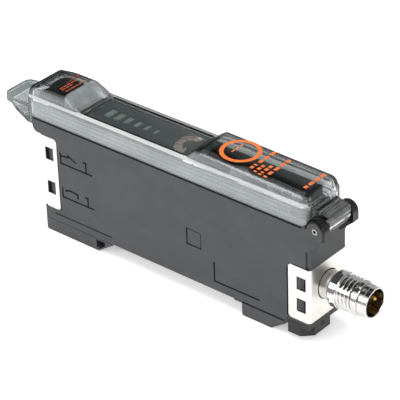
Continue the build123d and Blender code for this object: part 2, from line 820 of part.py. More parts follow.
def lock_lever():
    z1 = case_height + lever_base + 0.1
    hub = Pos(lever_pivot_x, lever_z) * Circle(lever_hub)
    web = rectangle(lever_pivot_x - lever_hub, lever_pivot_x + lever_hub, lever_z, z1)
    body = lever_cap() + side_solid(hub + web + lever_cam(), -lever_width / 2, lever_width / 2)
    return body - rod_y(-half, half, lever_pin_radius + pin_running_gap, lever_pivot_x, lever_z)


def lever_pin():
    reach = lever_width / 2 + side_gap + ear_thickness
    return rod_y(-reach, reach, lever_pin_radius, lever_pivot_x, lever_z)


def cam_bottom():
    return lever_z + cam_offset * sin(cam_angle * pi / 180) - cam_radius


def fibre_clamp():
    """a sliding gate that the cam presses down, so that the top of each eye holds its fibre"""
    x0, x1 = lever_pivot_x - clamp_thickness / 2, lever_pivot_x + clamp_thickness / 2
    gate = block(x0, x1, -clamp_width / 2, clamp_width / 2, fibre_heights[0] - 2.8, cam_bottom() - cam_gap)
    for height in fibre_heights:
        gate -= rod_x(x0 - 1, x1 + 1, fibre_radius + port_hole_gap, z=height)
        gate -= block(x0 - 1, x1 + 1, -fibre_radius, fibre_radius, height - fibre_radius - clamp_travel, height)
    return gate


def fibre_block():
    x0 = x_rear + wall
    y = inner - fibre_block_gap
    body = block(x0, optics_x, -y, y, floor, fibre_block_height)
    body += block(x_rear + plate_thickness, x0 + 0.1, -snout_width / 2, snout_width / 2,
                  fibre_heights[0] - snout_margin + fibre_block_gap,
                  fibre_heights[1] + snout_margin - fibre_block_gap)
    reach = clamp_thickness / 2 + clamp_gap
    body -= block(lever_pivot_x - reach, lever_pivot_x + reach, -clamp_width / 2 - clamp_gap,
                  clamp_width / 2 + clamp_gap, fibre_heights[0] - 2.8 - clamp_gap, fibre_block_height + 1)
    for height in fibre_heights:
        body -= rod_x(x_rear - 1, optics_x + 1, fibre_radius, z=height)
        body -= rod_x(optics_x - optic_length, optics_x + 1, optic_radius + fit_gap, z=height)
    return body


def optic(height):
    """a light emitter or receiver with its rim against the block's end"""
    can = rod_x(optics_x - optic_length + 0.1, optics_x, optic_radius, z=height)
    return can + rod_x(optics_x, optics_x + 1.0, optic_radius + optic_rim, z=height)


def optics_board():
    x0 = optics_x + 1.0
    return block(x0, x0 + small_board, -board_width / 2, board_width / 2, floor, fibre_block_height)


# Boards
def main_board():
    x0 = optics_x + 1.0 + small_board
    return block(x0, plug_board_x, -board_width / 2, board_width / 2, board_z, board_z + board_thickness)


def connector_board():
    return block(plug_board_x, plug_board_x + small_board, -board_width / 2, board_width / 2,
                 floor, board_z + board_thickness)


# Round screw connector
def contact_place(angle):
    a = angle * pi / 180
    return contact_circle * cos(a), plug_height + contact_circle * sin(a)


def turned(points):
    """a body turned about the connector's axis; points are x from the end plate and radius"""
    section = outline(*points)
    body = revolve(section, Axis.X)
    return Pos(x_front, 0, plug_height) * body


def connector_shell():
    start = -wall - plate_thickness - nut_thickness
    groove = plug_groove_start
    groove_end = groove + plug_groove_width
    bore = plug_bore_radius
    return turned([(start, bore), (start, plug_neck_radius), (0, plug_neck_radius), (0, plug_collar_radius),
                   (plug_thread_start, plug_collar_radius), (plug_thread_start, plug_thread_radius),
                   (groove, plug_thread_radius), (groove, plug_groove_radius),
                   (groove_end, plug_groove_radius), (groove_end, plug_thread_radius),
                   (plug_thread_end, plug_thread_radius), (plug_thread_end, plug_tip_radius),
                   (plug_length, plug_tip_radius), (plug_length, bore)])


def connector_ring():
    """the twelve-sided ring between the collar and the thread"""
    ring = end_solid(Pos(0, plug_height) * RegularPolygon(ring_radius, 12), x_front + plug_collar_length,
                     x_front + plug_thread_start)
    return ring - rod_x(x_front, x_front + plug_thread_start + 1, plug_collar_radius + fit_gap, z=plug_height)


def connector_nut():
    x1 = x_front - wall - plate_thickness
    nut = end_solid(Pos(0, plug_height) * RegularPolygon(nut_radius, 6), x1 - nut_thickness, x1)
    return nut - rod_x(x1 - nut_thickness - 1, x1 + 1, plug_neck_radius + fit_gap, z=plug_height)


def connector_insert():
    x0 = plug_board_x + small_board
    return rod_x(x0, x_front + plug_length - insert_depth, plug_bore_radius - fit_gap, z=plug_height)


def contact_pin(angle):
    y, z = contact_place(angle)
    x1 = x_front + plug_length - contact_recess
    body = rod_x(x_front + plug_length - insert_depth, x1, contact_radius, y, z)
    return chamfer(body.faces().sort_by(Axis.X)[-1].edges(), 0.25)


# Every node by name
def parts():
    nodes = {
        "case_shell": case_shell(), "rear_rail_foot": rear_rail_foot(),
        "front_rail_foot": front_rail_foot(), "top_deck": top_deck(),
        "fibre_end_plate": fibre_end_plate(), "connector_end_plate": connector_end_plate(),
        "protective_cover": protective_cover(), "hinge_pin": hinge_pin(),
        "light_frame": light_frame(),
        "display_panel": display_panel(), "number_dial": number_dial(), "idler_gear": idler_gear(),
        "adjuster_screw": adjuster_screw(), "gear_carrier": gear_carrier(),
        "potentiometer": potentiometer(), "lock_lever": lock_lever(), "lever_pin": lever_pin(),
        "fibre_clamp": fibre_clamp(), "fibre_block": fibre_block(),
        "photo_receiver": optic(fibre_heights[0]), "light_emitter": optic(fibre_heights[1]),
        "optics_board": optics_board(), "main_board": main_board(),
        "connector_board": connector_board(), "connector_shell": connector_shell(),
        "connector_ring": connector_ring(), "connector_nut": connector_nut(),
        "connector_insert": connector_insert(),
    }
    for name, x in zip(("mode", "timer"), switch_positions):
        nodes[name + "_switch"] = switch_housing(x)
        nodes[name + "_slider"] = switch_slider(x)
    for index in range(bar_count):
        nodes[f"bar_light_{index + 1}"] = bar_light(index)
    for index, angle in enumerate(contact_angles):
        nodes[f"contact_pin_{index + 1}"] = contact_pin(angle)
    return nodes


os.makedirs("parts", exist_ok=True)
for name, shape in parts().items():
    export_step(Pos(-x_middle, 0, foot_height) * shape, f"parts/{name}.step")
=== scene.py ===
"""Looks of the fibre optic sensor amplifier: materials, prints, fine moulded detail, light and camera."""
from math import atan, cos, pi, radians, sin, sqrt, tau

import bmesh
import bpy
from mathutils import Matrix, Vector


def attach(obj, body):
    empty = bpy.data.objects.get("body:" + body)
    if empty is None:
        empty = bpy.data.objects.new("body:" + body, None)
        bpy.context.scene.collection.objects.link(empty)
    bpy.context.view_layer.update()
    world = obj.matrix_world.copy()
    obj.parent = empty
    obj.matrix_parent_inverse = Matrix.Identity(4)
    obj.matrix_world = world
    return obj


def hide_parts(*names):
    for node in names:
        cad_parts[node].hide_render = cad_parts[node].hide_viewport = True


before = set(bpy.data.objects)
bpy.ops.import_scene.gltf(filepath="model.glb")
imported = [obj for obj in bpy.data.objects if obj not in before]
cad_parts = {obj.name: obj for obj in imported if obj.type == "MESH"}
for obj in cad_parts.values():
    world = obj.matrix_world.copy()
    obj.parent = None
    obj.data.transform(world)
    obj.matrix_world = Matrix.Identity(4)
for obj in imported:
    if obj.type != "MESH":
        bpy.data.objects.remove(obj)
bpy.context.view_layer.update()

MM = 0.001
# Places are in millimetres from the rail: x from its edge, y from the mid-plane and z from its face.
# RAIL_X and RAIL_Z are that edge and that face in the part's frame.
RAIL_X = -17.3
RAIL_Z = 3.4
CASE_HALF_WIDTH = 6.2
PORT_HEIGHTS = (8.3, 17.1)
FRONT_WINDOW_HEIGHTS = (5.6, 11.0)
DECK_TOP = 25.1
DIAL_TOP = 27.95
PANEL_TOP = 28.95
DIAL_X = 18.8
ADJUSTER_X = 32.8
CONNECTOR_X = 55.6
CONNECTOR_Z = 8.95
LEVER_END = -21.5
# How thick the prints are
INK = 0.02
# A cloudy pattern lies mostly between these two
PATTERN_LOW = 0.3
PATTERN_HIGH = 0.7
# The clear cover: where it ends, where its window lies between the domes, and its heights
COVER_ENDS = (-24.2, 55.0)
WINDOW_ENDS = (-7.9, 21.2)
COVER_RIM = 25.3
SKIRT_TOP = 27.6
SHOULDER_TOP = 30.2
WINDOW_TOP = 30.0
FRONT_DOME_FALL = 0.02
# The hinge's axis, and the room that the cover's rim leaves round it
HINGE_X = 56.8
HINGE_Z = 25.1
HINGE_ROOM = 2.6


def at(x, y, z):
    """a point given in millimetres from the rail's edge and face, as metres in the part's frame"""
    return Vector(((x + RAIL_X) * MM, y * MM, (z + RAIL_Z) * MM))


# The camera
def set_camera():
    """the photograph's angle, through a long lens"""
    azimuth, elevation, roll = radians(41.17), radians(31.62), radians(-2.036)
    back = Vector((sin(azimuth) * cos(elevation), -cos(azimuth) * cos(elevation), sin(elevation)))
    right = Vector((cos(azimuth), sin(azimuth), 0))
    up = back.cross(right)
    rolled_right = cos(roll) * right + sin(roll) * up
    rolled_up = -sin(roll) * right + cos(roll) * up
    data = bpy.data.cameras.new("camera")
    data.sensor_width = 36
    data.lens = 201.8
    data.clip_start = 0.01
    data.clip_end = 20
    camera = bpy.data.objects.new("camera", data)
    turn = Matrix((rolled_right, rolled_up, back)).transposed()
    place = Vector((0.274849, -0.310167, 0.2735))
    camera.matrix_world = Matrix.Translation(place) @ turn.to_4x4()
    bpy.context.scene.collection.objects.link(camera)
    bpy.context.scene.camera = camera


# Material helpers
def colour(code):
    """the linear value of an sRGB hex colour"""
    parts = [int(code[i:i + 2], 16) / 255 for i in (1, 3, 5)]
    return [p / 12.92 if p <= 0.04045 else ((p + 0.055) / 1.055) ** 2.4 for p in parts] + [1]


def add(material, kind, links=None, **settings):
    """a node with its settings: each link gives an input a value, an output or another node's first output"""
    node = material.node_tree.nodes.new(kind)
    for name, value in settings.items():
        setattr(node, name, value)
    for name, source in (links or {}).items():
        if isinstance(source, bpy.types.Node):
            source = source.outputs[0]
        if isinstance(source, bpy.types.NodeSocket):
            material.node_tree.links.new(source, node.inputs[name])
        else:
            node.inputs[name].default_value = source
    return node


def new_material(name):
    """an empty material"""
    material = bpy.data.materials.new(name)
    material.use_nodes = True
    material.node_tree.nodes.clear()
    return material


def finish_with(material, surface):
    """the material with its surface shader in place"""
    add(material, "ShaderNodeOutputMaterial", {"Surface": surface})
    return material


def mottle(material, size, detail=3.0, rough=0.5, stretch=(1, 1, 1)):
    """a cloudy pattern whose blobs are about size millimetres across, drawn long where stretch is small"""
    place = add(material, "ShaderNodeTexCoord").outputs["Object"]
    scaled = add(material, "ShaderNodeMapping", {"Vector": place, "Scale": stretch})
    blobs = {"Vector": scaled, "Scale": 1 / (size * MM), "Detail": detail, "Roughness": rough}
    return add(material, "ShaderNodeTexNoise", blobs).outputs["Fac"]


def between(low, high):
    """how a pattern is spread from low to high"""
    return {"From Min": PATTERN_LOW, "From Max": PATTERN_HIGH, "To Min": low, "To Max": high}


def zone(material, *edges, most=1.0):
    """a region's share, from 0 outside to most inside, in millimetres of the part's frame

    Each edge is an axis, or across for the distance from the mid-plane, the place where it starts and where
    it is full.
    """
    place = add(material, "ShaderNodeTexCoord").outputs["Object"]
    parted = add(material, "ShaderNodeSeparateXYZ", {"Vector": place})
    share = most
    for axis, start, full in edges:
        value = parted.outputs["Y" if axis == "across" else axis]
        if axis == "across":
            value = add(material, "ShaderNodeMath", {0: value}, operation="ABSOLUTE")
        rise = {"Value": value, "From Min": start * MM, "From Max": full * MM}
        edge = add(material, "ShaderNodeMapRange", rise, interpolation_type="SMOOTHSTEP")
        share = add(material, "ShaderNodeMath", {0: edge, 1: share}, operation="MULTIPLY")
    return share


def paint(material, tint, patches=()):
    """a hex colour, or a pattern and its two colours, under patches that are each a share and a colour"""
    if isinstance(tint, str):
        painted = colour(tint)
    else:
        pattern, dark, light = tint
        ramp = add(material, "ShaderNodeValToRGB", {"Fac": pattern})
        ends = ((PATTERN_LOW, dark), (PATTERN_HIGH, light))
        for element, (place, code) in zip(ramp.color_ramp.elements, ends):
            element.position = place
            element.color = colour(code)
        painted = ramp.outputs["Color"]
    for share, code in patches:
        mix = add(material, "ShaderNodeMix", {0: share, 6: painted, 7: colour(code)}, data_type="RGBA")
        painted = mix.outputs[2]
    return painted


def dress(material, tint, rough, relief=None, patches=(), **constants):
    """a surface: its tint as for paint, its roughness a value or a pattern from low to high, and its relief

    The relief is a pattern and its depth in millimetres, then its strength if that isn't 1. The constants are
    the same all over and sit on the shader's own inputs.
    """
    values = {name.replace("_", " "): value for name, value in constants.items()}
    values["Base Color"] = paint(material, tint, patches)
    if isinstance(rough, tuple):
        pattern, low, high = rough
        rough = add(material, "ShaderNodeMapRange", {"Value": pattern, **between(low, high)})
    values["Roughness"] = rough
    if relief:
        height, depth, strength = (*relief, 1.0)[:3]
        bump = {"Height": height, "Strength": strength, "Distance": depth * MM}
        values["Normal"] = add(material, "ShaderNodeBump", bump)
    return add(material, "ShaderNodeBsdfPrincipled", values)


def ray_kinds(material):
    """what kind of ray meets the surface, and 1 for a ray that comes off gloss or through glass"""
    ray = add(material, "ShaderNodeLightPath").outputs
    sharp = add(material, "ShaderNodeMath", {0: ray["Is Glossy Ray"], 1: ray["Is Transmission Ray"]},
                operation="MAXIMUM")
    return ray, sharp


# Materials
def eroded_abs():
    """black-grey ABS from a spark-eroded mould: even, dull, finely pitted, polished on the hinge and a low
    block, painted darker there as shade
    """
    material = new_material("spark_eroded_abs_moulding")
    # The hinge, all but its side faces, and the low block under the connector are polished and get painted
    # shade: colour darkened to #171716
    hinge = zone(material, ("X", 36.9, 37.2), ("Z", 26.4, 26.6), ("across", 6.19, 6.12))
    block = zone(material, ("X", 31.9, 32.1), ("Z", 4.9, 4.6))
    polished = add(material, "ShaderNodeMath", {0: hinge, 1: block}, operation="MAXIMUM")
    dull = add(material, "ShaderNodeMapRange", {"Value": mottle(material, 2.5, 3), **between(0.5, 0.6)})
    rough = add(material, "ShaderNodeMath", {0: polished, 1: -0.27, 2: dull}, operation="MULTIPLY_ADD")
    tint = (mottle(material, 9, 4, 0.55, (1, 1, 1.6)), "#454648", "#4c4d4f")
    pits = (mottle(material, 0.16, 2, 0.6), 0.012)
    skin = dress(material, tint, rough, pits, [(polished, "#171716")], IOR=1.52, Specular_IOR_Level=0.4)
    return finish_with(material, skin)


def satin_pbt(name="satin_black_pbt_moulding", dark="#121314", light="#1b1c1e", low=0.28, high=0.4):
    """black PBT from a polished tool: satin, with faint flow waves"""
    material = new_material(name)
    tint = (mottle(material, 6, 4), dark, light)
    sheen = (mottle(material, 1.2, 3), low, high)
    waves = (mottle(material, 3.5, 2, 0.4), 0.02)
    return finish_with(material, dress(material, tint, sheen, waves, IOR=1.55))


def panel_foil():
    """the display's front foil: dark green-grey, fine matt print on polyester"""
    material = new_material("matt_printed_polyester_foil")
    grain = mottle(material, 0.09, 2)
    tint = (mottle(material, 5, 3), "#424948", "#4c5452")
    return finish_with(material, dress(material, tint, (grain, 0.36, 0.48), (grain, 0.003), IOR=1.6))


def cover_relief(material):
    """the cover's height pattern in metres: bulging domes, faint flow waves, and pits on the hinge tongue"""
    place = add(material, "ShaderNodeTexCoord").outputs["Object"]
    across = add(material, "ShaderNodeSeparateXYZ", {"Vector": place}).outputs["Y"]
    squared = add(material, "ShaderNodeMath", {0: across, 1: across}, operation="MULTIPLY")
    on_domes = zone(material, ("Z", 34.0, 35.4))
    dome = add(material, "ShaderNodeMath", {0: squared, 1: on_domes}, operation="MULTIPLY")
    grit = mottle(material, 0.35, 2)
    on_tongue = zone(material, ("X", 41.2, 41.3), most=0.06 * MM)
    pits = add(material, "ShaderNodeMath", {0: grit, 1: on_tongue}, operation="MULTIPLY")
    flow = mottle(material, 7, 2, 0.35, (0.6, 1, 1))
    waves = add(material, "ShaderNodeMath", {0: flow, 1: 0.02 * MM, 2: pits}, operation="MULTIPLY_ADD")
    # A cylinder, here of 80 mm radius, falls by the distance across, squared, over twice its radius
    fall = -1 / (2 * 80 * MM)
    return add(material, "ShaderNodeMath", {0: dome, 1: fall, 2: waves}, operation="MULTIPLY_ADD")


def clear_polycarbonate():
    """moulded clear polycarbonate: high gloss, painted shade at its edges and on the domes' tops, a painted
    highlight along the shoulder, its upright sides a little milky
    """
    material = new_material("clear_polycarbonate_moulding")
    index = 1.586
    facing = add(material, "ShaderNodeLayerWeight", {"Blend": 0.35}).outputs["Facing"]
    # The clear part is painted darker where it is seen at a low angle and on the domes' tops: painted shade
    # for the dark surroundings it reflects and the dark inside seen through the tops
    grazing_shade = add(material, "ShaderNodeMath", {0: facing, 1: 2.2}, operation="POWER")
    polish = (mottle(material, 2, 3), 0.012, 0.04)
    relief = (cover_relief(material), 1 / MM)
    tops = zone(material, ("Z", 35.2, 35.8), most=0.75)
    gloss = dress(material, "#f0f3f3", polish, relief, [(grazing_shade, "#3a3f41"), (tops, "#454b4b")],
                  IOR=index, Transmission_Weight=1.0)
    # The milky part is painted palest along the shoulder, a painted highlight. It is mixed in on the upright
    # sides, along the shoulder's outer edge as a painted highlight, on the tab and on the ramp between the
    # rear dome and the window.
    crest_highlight = (("Z", 33.0, 33.4), ("Z", 33.9, 33.65))
    haze = (mottle(material, 3, 3, 0.5, (0.3, 1, 1)), "#a3a9ab", "#c4c9ca")
    milk = dress(material, haze, 0.25, patches=[(zone(material, *crest_highlight), "#f6f7f7")], IOR=index)
    share = zone(material, ("across", 4.7, 5.3), ("Z", 36.0, 34.9), ("X", -41.5, -39.0), most=0.38)
    bead_highlight = zone(material, *crest_highlight, ("across", 5.15, 5.3), most=0.65)
    tab = zone(material, ("X", -41.5, -41.7), most=0.2)
    # The milk on the ramp is a painted highlight
    ramp = zone(material, ("X", -30.6, -30.0), ("X", -25.4, -26.0), ("Z", 33.6, 33.9), most=0.45)
    for other in (bead_highlight, tab, ramp):
        share = add(material, "ShaderNodeMath", {0: share, 1: other}, operation="MAXIMUM")
    hazy = add(material, "ShaderNodeMixShader", {0: share, 1: gloss, 2: milk})
    # Where the wall is seen edge on, it is painted nearly black: painted shade for its dark rims
    rim = dress(material, "#1d2021", 0.4, IOR=1.3)
    turning = {"Value": facing, "From Min": 0.42, "From Max": 0.6, "To Min": 0.0, "To Max": 0.95}
    edge_on_shade = add(material, "ShaderNodeMapRange", turning)
    body = add(material, "ShaderNodeMixShader", {0: edge_on_shade, 1: hazy, 2: rim})
    let_through = add(material, "ShaderNodeBsdfTransparent", {"Color": colour("#e6e9e9")})
    lamp_ray = add(material, "ShaderNodeLightPath").outputs["Is Shadow Ray"]
    return finish_with(material, add(material, "ShaderNodeMixShader", {0: lamp_ray, 1: body, 2: let_through}))


def pale_frame():
    """milky grey polycarbonate with a soft sheen, its inner faces painted dark as shade: the frame under the
    cover
    """
    material = new_material("milky_polycarbonate_moulding")
    # The inner faces get painted shade, standing for the shaded inside of the cover
    inner = zone(material, ("across", 4.85, 4.7))
    tint = (mottle(material, 4, 4), "#b2b5b7", "#d9dcdd")
    sheen = (mottle(material, 1.5), 0.3, 0.5)
    waves = (mottle(material, 2.5), 0.03)
    return finish_with(material, dress(material, tint, sheen, waves, [(inner, "#2b2d2e")], IOR=1.58))


def stainless_sheet():
    """bright stainless sheet: nearly white, its rolled lines too fine to show, so drawn 0.12 mm apart"""
    material = new_material("bright_annealed_stainless_sheet")
    rolled = mottle(material, 0.12, 2, 0.5, (1, 1, 0.05))
    tint = (mottle(material, 4, 3), "#e4e1db", "#eeebe6")
    surface = dress(material, tint, (rolled, 0.3, 0.42), (rolled, 0.004, 0.6), Metallic=1.0)
    return finish_with(material, surface)


def pin_steel():
    """drawn stainless tube: bright, with fine lines round it"""
    material = new_material("drawn_stainless_tube")
    drawn = mottle(material, 0.1, 2, 0.5, (1, 0.06, 1))
    tint = (mottle(material, 1.5), "#8f8f8e", "#aaaaa8")
    return finish_with(material, dress(material, tint, (drawn, 0.18, 0.3), Metallic=1.0))


def nickel_brass():
    """turned brass under bright nickel: mirror-like, with the lathe's rings drawn 0.1 mm apart"""
    material = new_material("bright_nickel_on_turned_brass")
    rings = mottle(material, 0.1, 2, 0.5, (1, 0.08, 0.08))
    tint = (mottle(material, 2, 3), "#cdccca", "#dedddb")
    surface = dress(material, tint, (rings, 0.07, 0.16), (rings, 0.003, 0.5), Metallic=1.0)
    return finish_with(material, surface)


def gold_flash():
    """hard gold flash on turned contacts: warm, bright, a little worn at the tips"""
    material = new_material("hard_gold_flash")
    tint = (mottle(material, 0.6, 3), "#e6b654", "#f6d68c")
    sheen = (mottle(material, 0.3), 0.28, 0.42)
    return finish_with(material, dress(material, tint, sheen, Metallic=1.0))


def insert_pa():
    """brown polyamide of the contact insert: dull, with a glass-fibre mottle"""
    material = new_material("glass_filled_polyamide_insert")
    tint = (mottle(material, 0.5, 4), "#584a37", "#6b5b44")
    grit = (mottle(material, 0.25), 0.01)
    return finish_with(material, dress(material, tint, 0.55, grit))


def moulded_pom(name, dark, light, rough):
    """acetal of the small gears and knobs: waxy, faintly see-through at the edges"""
    material = new_material(name)
    tint = (mottle(material, 2.2, 3), dark, light)
    sheen = (mottle(material, 0.8), rough, rough + 0.12)
    waves = (mottle(material, 0.6), 0.008)
    surface = dress(material, tint, sheen, waves, IOR=1.48, Subsurface_Weight=0.08, Subsurface_Scale=0.6 * MM)
    return finish_with(material, surface)


def bar_guide():
    """unlit light guides: grey-green, softly lit from the panel's front"""
    material = new_material("frosted_acrylic_light_guide")
    tint = (mottle(material, 1.2, 3), "#77837f", "#8b9893")
    frost = (mottle(material, 0.2), 0.004)
    surface = dress(material, tint, 0.42, frost, IOR=1.49, Subsurface_Weight=0.1, Subsurface_Scale=0.4 * MM)
    return finish_with(material, surface)


def board_laminate():
    """glass-epoxy board under green solder mask: glossy, with the weave of 1.2 mm showing through"""
    material = new_material("green_solder_mask_on_glass_epoxy")
    place = add(material, "ShaderNodeTexCoord").outputs["Object"]
    waves = {"Vector": place, "Scale": 1 / (1.2 * MM), "Distortion": 1.0}
    weave = add(material, "ShaderNodeTexWave", waves).outputs["Fac"]
    return finish_with(material, dress(material, (weave, "#123d26", "#1a5233"), 0.3, (weave, 0.006)))


def optic_resin():
    """clear epoxy of the light source and receiver, with a smoky tint"""
    material = new_material("clear_epoxy_casting")
    tint = (mottle(material, 1, 2), "#c9c2b6", "#dcd6cb")
    return finish_with(material, dress(material, tint, 0.08, IOR=1.54, Transmission_Weight=0.6))


def pad_ink(name, dark, light):
    """pad-printed ink, 0.02 mm thick: matt, with small pinholes"""
    material = new_material(name)
    tint = (mottle(material, 0.35, 4), dark, light)
    sheen = (mottle(material, 0.15), 0.45, 0.65)
    return finish_with(material, dress(material, tint, sheen))


def mould_line():
    """near black with little shine: painted shade on the mould marks' raised lines, along the moulding's
    seams and beside the window, and the ejector marks' rings
    """
    material = new_material("near_black_line_and_painted_shade")
    tint = (mottle(material, 0.8, 3), "#070708", "#0e0e0f")
    pits = (mottle(material, 0.3), 0.004)
    return finish_with(material, dress(material, tint, 0.6, pits, Specular_IOR_Level=0.12))


def studio_floor():
    """white sweep: plain white to the eye, with the object's shadow, and dark to gloss away from the part"""
    material = new_material("white_paper_sweep")
    tone = paint(material, (mottle(material, 30, 3), "#f3f3f3", "#f8f8f8"))
    paper = add(material, "ShaderNodeBsdfDiffuse", {"Color": tone})
    glow = add(material, "ShaderNodeEmission", {"Color": colour("#ffffff"), "Strength": 0.45})
    lit = add(material, "ShaderNodeAddShader", {0: paper, 1: glow})
    ray, sharp = ray_kinds(material)
    seen = add(material, "ShaderNodeMath", {0: ray["Is Camera Ray"], 1: sharp}, operation="MAXIMUM")
    white = add(material, "ShaderNodeMixShader", {0: seen, 1: paper, 2: lit})
    place = add(material, "ShaderNodeTexCoord").outputs["Object"]
    away = add(material, "ShaderNodeVectorMath", {0: place}, operation="LENGTH").outputs["Value"]
    rise = {"Value": away, "From Min": 120 * MM, "From Max": 300 * MM}
    far = add(material, "ShaderNodeMapRange", rise, interpolation_type="SMOOTHSTEP")
    dim = add(material, "ShaderNodeMath", {0: sharp, 1: far}, operation="MULTIPLY")
    dark = add(material, "ShaderNodeBsdfDiffuse", {"Color": colour("#3c3c3c")})
    return finish_with(material, add(material, "ShaderNodeMixShader", {0: dim, 1: white, 2: dark}))


# Mesh helpers
def make_piece(name, mesh, body, material, smooth=35):
    """a finished bmesh as an object that rides on a body, shaded smooth up to an angle in degrees, or flat"""
    bmesh.ops.remove_doubles(mesh, verts=mesh.verts, dist=1e-7)
    bmesh.ops.recalc_face_normals(mesh, faces=mesh.faces)
    data = bpy.data.meshes.new(name)
    mesh.to_mesh(data)
    mesh.free()
    for polygon in data.polygons:
        polygon.use_smooth = bool(smooth)
    if smooth:
        data.set_sharp_from_angle(angle=radians(smooth))
    piece = bpy.data.objects.new(name, data)
    bpy.context.scene.collection.objects.link(piece)
    piece.data.materials.append(material)
    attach(piece, body)
    return piece


def add_bar(mesh, size, centre, turn=None, edge=0.0, segments=2):
    """a block with softened edges joined to the mesh, sizes in millimetres, centre in metres"""
    made = bmesh.ops.create_cube(mesh, size=1)["verts"]
    bmesh.ops.scale(mesh, vec=[s * MM for s in size], verts=made)
    if edge:
        edges = list({e for v in made for e in v.link_edges})
        made = bmesh.ops.bevel(mesh, geom=edges, offset=edge * MM, segments=segments, profile=0.5,
                               material=-1, affect="EDGES")["verts"]
    move = Matrix.Translation(centre) @ (turn or Matrix.Identity(4))
    bmesh.ops.transform(mesh, matrix=move, verts=made)


def add_lines(mesh, points, width, depth, side):
    """thin raised lines on a long side of the case, from point to point as (x, z) from the rail"""
    places = [at(x, side * CASE_HALF_WIDTH, z) for x, z in points]
    for start, end in zip(places, places[1:]):
        run = end - start
        angle = -atan(run.z / run.x) if abs(run.x) > 1e-9 else pi / 2
        size = (run.length / MM + width, depth * 2, width)
        add_bar(mesh, size, (start + end) / 2, Matrix.Rotation(angle, 4, "Y"), 0.02, 1)


def add_ring(mesh, outer, inner, height, matrix, segments=72):
    """a flat ring: two circles bridged, then thickened"""
    rim = bmesh.ops.create_circle(mesh, cap_ends=False, segments=segments, radius=outer * MM)["verts"]
    hole = bmesh.ops.create_circle(mesh, cap_ends=False, segments=segments, radius=inner * MM)["verts"]
    edges = list({e for v in rim + hole for e in v.link_edges})
    faces = bmesh.ops.bridge_loops(mesh, edges=edges)["faces"]
    top = bmesh.ops.extrude_face_region(mesh, geom=faces)["geom"]
    raised = [g for g in top if isinstance(g, bmesh.types.BMVert)]
    bmesh.ops.translate(mesh, vec=(0, 0, height * MM), verts=raised)
    bmesh.ops.transform(mesh, matrix=matrix, verts=rim + hole + raised)


def outline(mesh, points):
    """vertices joined to a closed outline, with their edges"""
    verts = [mesh.verts.new(point) for point in points]
    return verts + [mesh.edges.new(pair) for pair in zip(verts, verts[1:] + verts[:1])]


def add_lathe(mesh, profile, centre, steps=96):
    """a profile of (x, radius) pairs turned round an axis along x through the centre"""
    geom = outline(mesh, [centre + Vector((x * MM, 0, radius * MM)) for x, radius in profile])
    bmesh.ops.spin(mesh, geom=geom, cent=centre, axis=(1, 0, 0), angle=tau, steps=steps, use_merge=True)


def text_mesh(words, size, depth):
    """flat type as mesh data, its size and depth in millimetres, centred on the origin and facing up"""
    curve = bpy.data.curves.new("type", "FONT")
    curve.body = words
    curve.size = size * MM
    curve.extrude = depth * MM
    curve.align_x = "CENTER"
    curve.align_y = "CENTER"
    curve.resolution_u = 3
    holder = bpy.data.objects.new("type", curve)
    bpy.context.scene.collection.objects.link(holder)
    bpy.context.view_layer.update()
    data = bpy.data.meshes.new_from_object(holder.evaluated_get(bpy.context.evaluated_depsgraph_get()))
    bpy.data.objects.remove(holder)
    bpy.data.curves.remove(curve)
    return data


set_camera()
black = satin_pbt()
steel = stainless_sheet()
nickel = nickel_brass()
gold = gold_flash()
dark_line = mould_line()
clear = clear_polycarbonate()


def dress_nodes():
    """the finish of every carried-over solid"""
    case = eroded_abs()
    board = board_laminate()
    resin = optic_resin()
    tube = pin_steel()
    dial = moulded_pom("pale_acetal_dial_moulding", "#dcb8ad", "#e8cac0", 0.35)
    knob = moulded_pom("grey_acetal_knob_moulding", "#8a8d8e", "#9a9d9e", 0.32)
    finishes = (
        (case, ("case_shell", "rear_rail_foot", "front_rail_foot")),
        (black, ("top_deck", "fibre_block", "fibre_clamp", "gear_carrier", "potentiometer", "mode_switch",
                 "timer_switch")),
        (steel, ("fibre_end_plate", "connector_end_plate")),
        (clear, ("protective_cover",)),
        (pale_frame(), ("light_frame",)),
        (panel_foil(), ("display_panel",)),
        (bar_guide(), tuple(f"bar_light_{number}" for number in range(1, 7))),
        (tube, ("hinge_pin", "lever_pin")),
        (dial, ("number_dial", "idler_gear")),
        (knob, ("adjuster_screw", "mode_slider", "timer_slider")),
        (satin_pbt("dark_grey_pbt_lever_moulding", "#2b2f30", "#343839", 0.3, 0.42), ("lock_lever",)),
        (resin, ("photo_receiver", "light_emitter")),
        (board, ("optics_board", "main_board", "connector_board")),
        (nickel, ("connector_shell", "connector_ring", "connector_nut")),
        (insert_pa(), ("connector_insert",)),
        (gold, tuple(f"contact_pin_{number}" for number in range(1, 5))),
    )
    for finish, names in finishes:
        for name in names:
            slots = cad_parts[name].data.materials
            slots.clear()
            slots.append(finish)


def case_marks():
    """the raised line drawings of the moulding, on both long sides, drawn near black as painted shade"""
    strokes = [((-14.2, 17.9), (-12.1, 18.1)), ((-12.1, 18.6), (-10.0, 17.5)),
               ((-13.5, 8.95), (-12.2, 9.45), (-9.85, 9.25), (-9.85, 8.3)),
               ((29.7, 6.9), (29.68, 2.3), (41.9, 2.35))]
    for top, foot in ((18.5, 15.92), (9.4, 7.15)):
        strokes += [((-14.5, top), (-14.45, foot), (-5.2, foot)), ((-6.8, top), (-6.8, foot)),
                    ((-7.5, top - 0.05), (-6.8, top))]
    mesh = bmesh.new()
    for side in (-1, 1):
        for points in strokes:
            add_lines(mesh, points, 0.42, 0.03, side)
    make_piece("mould_marks_painted_shade", mesh, "amplifier_body", dark_line, smooth=None)


